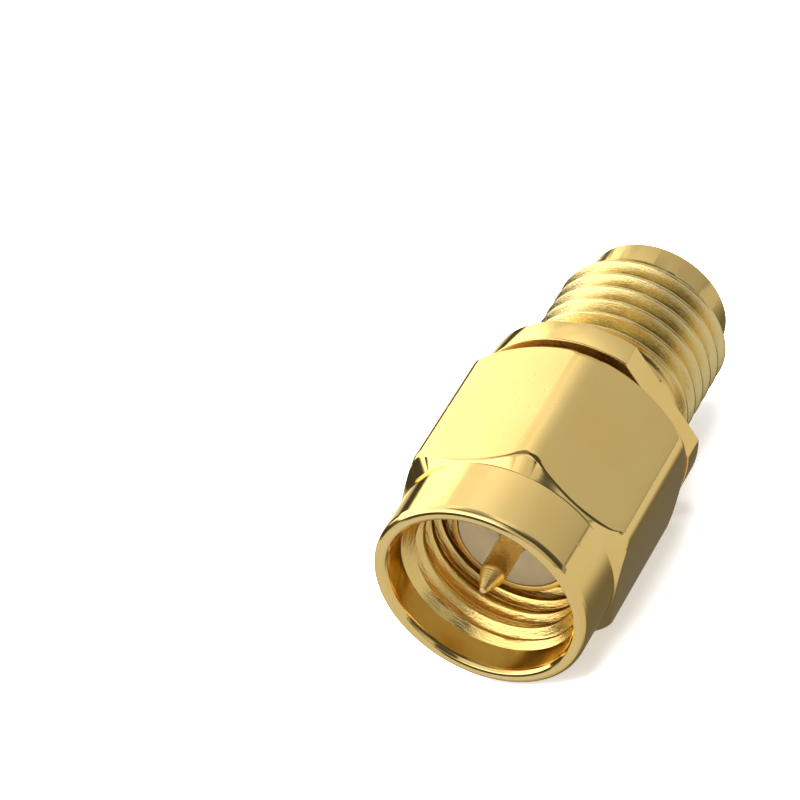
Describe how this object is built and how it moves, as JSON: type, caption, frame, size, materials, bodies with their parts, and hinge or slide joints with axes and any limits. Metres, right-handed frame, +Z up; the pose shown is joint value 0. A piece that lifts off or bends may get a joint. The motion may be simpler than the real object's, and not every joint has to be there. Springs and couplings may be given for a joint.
{
  "type": "coax adapter",
  "caption": "Gold-plated threaded coaxial adapter: plug end with a free-turning hexagonal coupling nut and centre pin, threaded jack end with a slotted socket.",
  "frame": {"origin": "on the supporting surface, under the middle of the connector's length", "axes": "+Y along the connector axis towards the jack end, +Z up through the top flat of the coupling nut, +X sideways through a corner of the nut"},
  "size_m": [0.0088, 0.0158, 0.008],
  "materials": {
    "gold_plate": "polished gold plate over turned brass",
    "gold_contact": "bright gold plate",
    "spring_bronze": "satin spring bronze",
    "white_insulator": "satin, slightly translucent white fluoropolymer"
  },
  "bodies": {
    "adapter_body": {"jack_body": "gold_plate", "insulator_plug": "white_insulator", "insulator_jack": "white_insulator", "center_contact": "gold_contact"},
    "retainer": {"retaining_ring": "spring_bronze"},
    "nut": {"coupling_nut": "gold_plate"}
  },
  "joints": [
    {"name": "nut_float", "type": "slide", "parent": "adapter_body", "child": "retainer", "axis": [0, -1, 0], "range_m": [0, 0.0002]},
    {"name": "nut_spin", "type": "hinge", "parent": "retainer", "child": "nut", "pos_m": [0, 0, 0.004], "axis": [0, -1, 0], "continuous": true}
  ]
}
